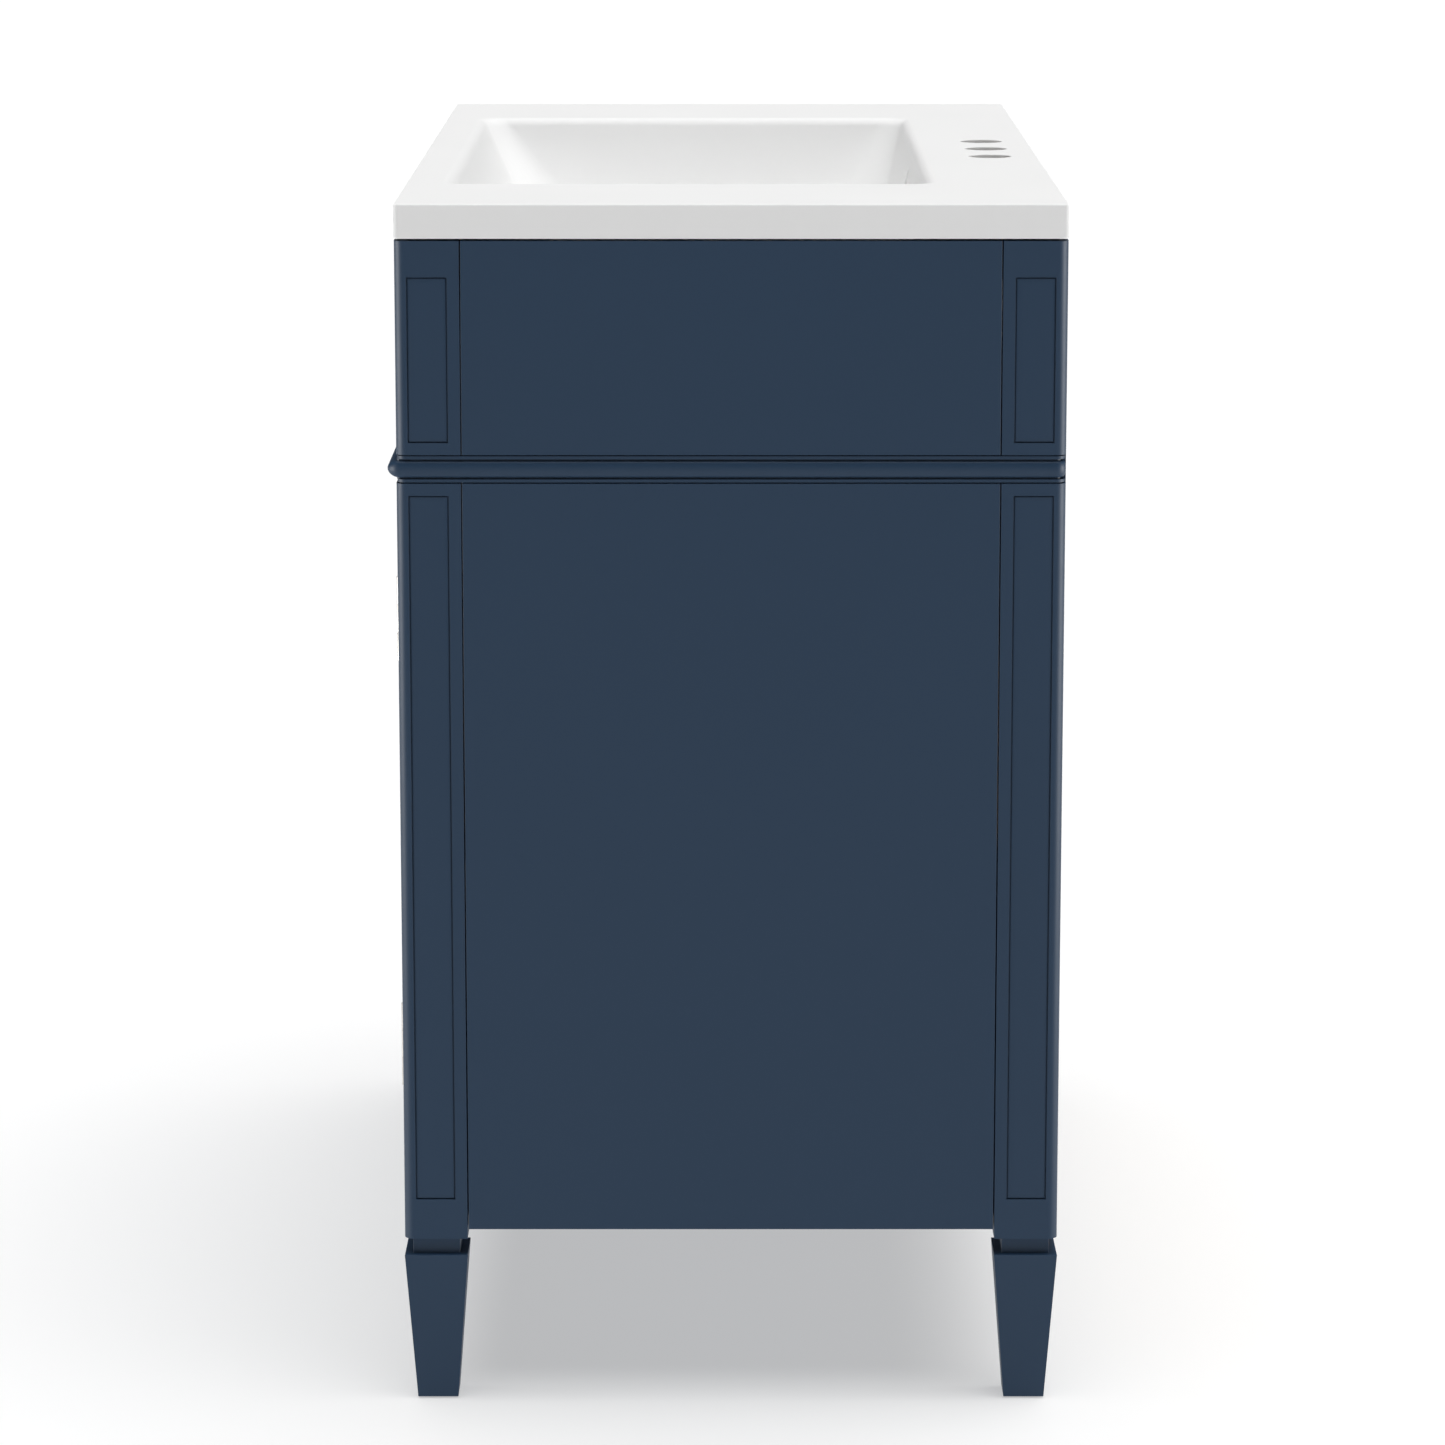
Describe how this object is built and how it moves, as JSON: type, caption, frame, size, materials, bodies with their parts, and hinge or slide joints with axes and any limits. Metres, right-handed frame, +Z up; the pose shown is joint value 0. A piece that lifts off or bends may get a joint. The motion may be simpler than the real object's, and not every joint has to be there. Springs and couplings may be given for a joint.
{
  "type": "bathroom vanity cabinet",
  "caption": "Free-standing bathroom vanity: basin top on a painted cabinet with square posts on tapered legs, a bead moulding band and hinged inset doors.",
  "frame": {"origin": "on the floor, under the middle of the bounding box", "axes": "+Z up, -Y out of the front with the doors, +X towards the right-hand end as seen by someone facing the front"},
  "size_m": [0.914, 0.489, 0.858],
  "materials": {
    "navy_paint": "satin",
    "white_resin": "gloss",
    "birch_plywood": "matte",
    "satin_nickel": "satin",
    "black_nylon": "matte"
  },
  "bodies": {
    "cabinet": {"countertop": "white_resin", "moulding_front": "navy_paint", "front_rail_top": "navy_paint", "front_rail_middle": "navy_paint", "front_rail_bottom": "navy_paint", "false_front": "navy_paint", "bottom_panel": "navy_paint", "shelf": "birch_plywood", "back_rail_top": "birch_plywood", "back_rail_bottom": "birch_plywood", "magnetic_catch": "black_nylon", "corner_post_front_right": "navy_paint", "corner_post_back_right": "navy_paint", "side_panel_right": "navy_paint", "moulding_right": "navy_paint", "leg_front_right": "navy_paint", "leg_back_right": "navy_paint", "false_front_cleat_right": "birch_plywood", "corner_block_front_right": "birch_plywood", "corner_block_back_right": "birch_plywood", "glide_front_right": "black_nylon", "glide_back_right": "black_nylon", "shelf_pin_front_right": "satin_nickel", "shelf_pin_back_right": "satin_nickel", "hinge_post_leaf_lower_right": "satin_nickel", "hinge_post_leaf_upper_right": "satin_nickel", "corner_post_front_left": "navy_paint", "corner_post_back_left": "navy_paint", "side_panel_left": "navy_paint", "moulding_left": "navy_paint", "leg_front_left": "navy_paint", "leg_back_left": "navy_paint", "false_front_cleat_left": "birch_plywood", "corner_block_front_left": "birch_plywood", "corner_block_back_left": "birch_plywood", "glide_front_left": "black_nylon", "glide_back_left": "black_nylon", "shelf_pin_front_left": "satin_nickel", "shelf_pin_back_left": "satin_nickel", "hinge_post_leaf_lower_left": "satin_nickel", "hinge_post_leaf_upper_left": "satin_nickel"},
    "door_right": {"door_hinge_stile_right": "navy_paint", "door_meeting_stile_right": "navy_paint", "door_top_rail_right": "navy_paint", "door_bottom_rail_right": "navy_paint", "door_panel_right": "navy_paint", "strike_plate_right": "satin_nickel", "knob_right": "satin_nickel", "hinge_door_leaf_lower_right": "satin_nickel", "hinge_door_leaf_upper_right": "satin_nickel"},
    "door_left": {"door_hinge_stile_left": "navy_paint", "door_meeting_stile_left": "navy_paint", "door_top_rail_left": "navy_paint", "door_bottom_rail_left": "navy_paint", "door_panel_left": "navy_paint", "strike_plate_left": "satin_nickel", "knob_left": "satin_nickel", "hinge_door_leaf_lower_left": "satin_nickel", "hinge_door_leaf_upper_left": "satin_nickel"}
  },
  "joints": [
    {"name": "door_right_hinge", "type": "hinge", "parent": "cabinet", "child": "door_right", "pos_m": [0.41075, -0.2207, 0.407], "axis": [0, 0, 1], "range_deg": [0, 110]},
    {"name": "door_left_hinge", "type": "hinge", "parent": "cabinet", "child": "door_left", "pos_m": [-0.41075, -0.2207, 0.407], "axis": [0, 0, -1], "range_deg": [0, 110]}
  ]
}
